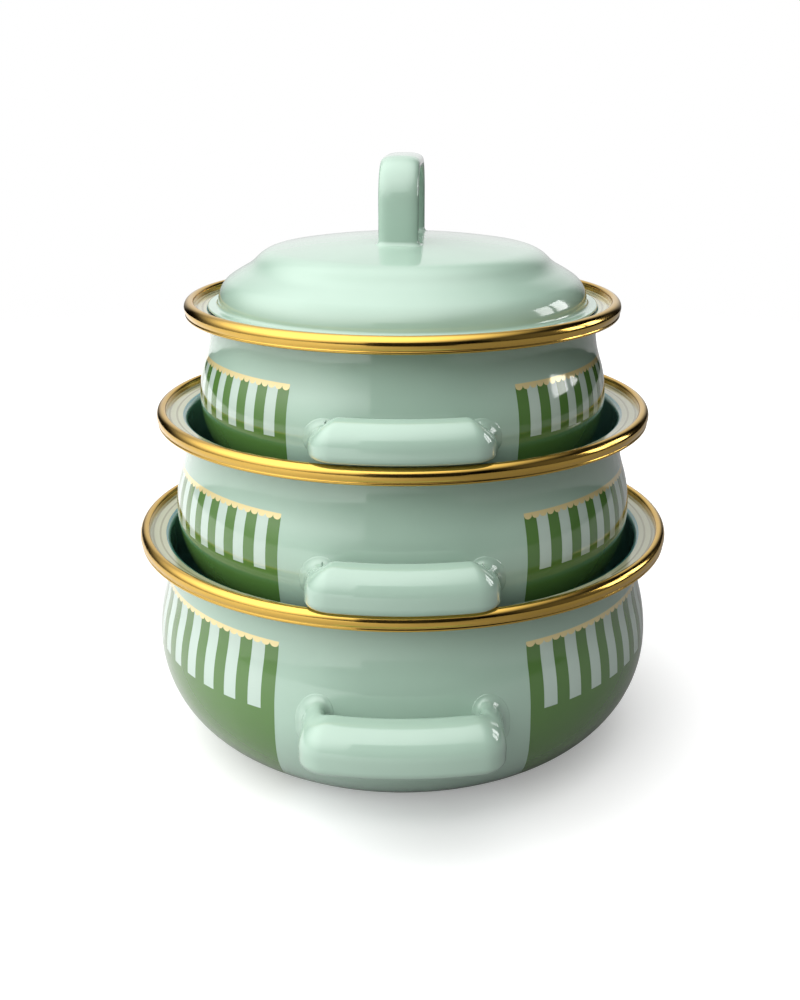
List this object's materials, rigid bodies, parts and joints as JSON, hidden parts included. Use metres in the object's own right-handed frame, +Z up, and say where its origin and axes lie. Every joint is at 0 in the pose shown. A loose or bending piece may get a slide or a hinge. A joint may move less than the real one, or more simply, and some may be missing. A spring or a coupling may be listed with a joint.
{
  "type": "stacked enamel cook pot set",
  "caption": "Nested stack of round-bellied enamel casseroles with gold rims, side handles, striped sides and a domed lid.",
  "frame": {"origin": "middle of the underside of the large pot's base, on the surface it stands on", "axes": "+Z up along the pots' common axis; -Y towards the front handles, +Y towards the back handles, +X to the right"},
  "size_m": [0.242, 0.284, 0.2642],
  "materials": {
    "mint_enamel": "gloss",
    "gold_trim": "polished"
  },
  "bodies": {
    "large_pot": {"large_pot_shell": "mint_enamel", "large_pot_rim": "gold_trim", "large_pot_front_handle": "mint_enamel", "large_pot_back_handle": "mint_enamel"},
    "medium_pot": {"medium_pot_shell": "mint_enamel", "medium_pot_rim": "gold_trim", "medium_pot_front_handle": "mint_enamel", "medium_pot_back_handle": "mint_enamel"},
    "small_pot": {"small_pot_shell": "mint_enamel", "small_pot_rim": "gold_trim", "small_pot_front_handle": "mint_enamel", "small_pot_back_handle": "mint_enamel"},
    "lid": {"lid_shell": "mint_enamel", "lid_handle": "mint_enamel"}
  },
  "joints": [
    {"name": "medium_pot_lift", "type": "slide", "parent": "large_pot", "child": "medium_pot", "axis": [0, 0, 1], "range_m": [0, 0.09]},
    {"name": "small_pot_lift", "type": "slide", "parent": "medium_pot", "child": "small_pot", "axis": [0, 0, 1], "range_m": [0, 0.09]},
    {"name": "lid_lift", "type": "slide", "parent": "small_pot", "child": "lid", "axis": [0, 0, 1], "range_m": [0, 0.08]}
  ]
}
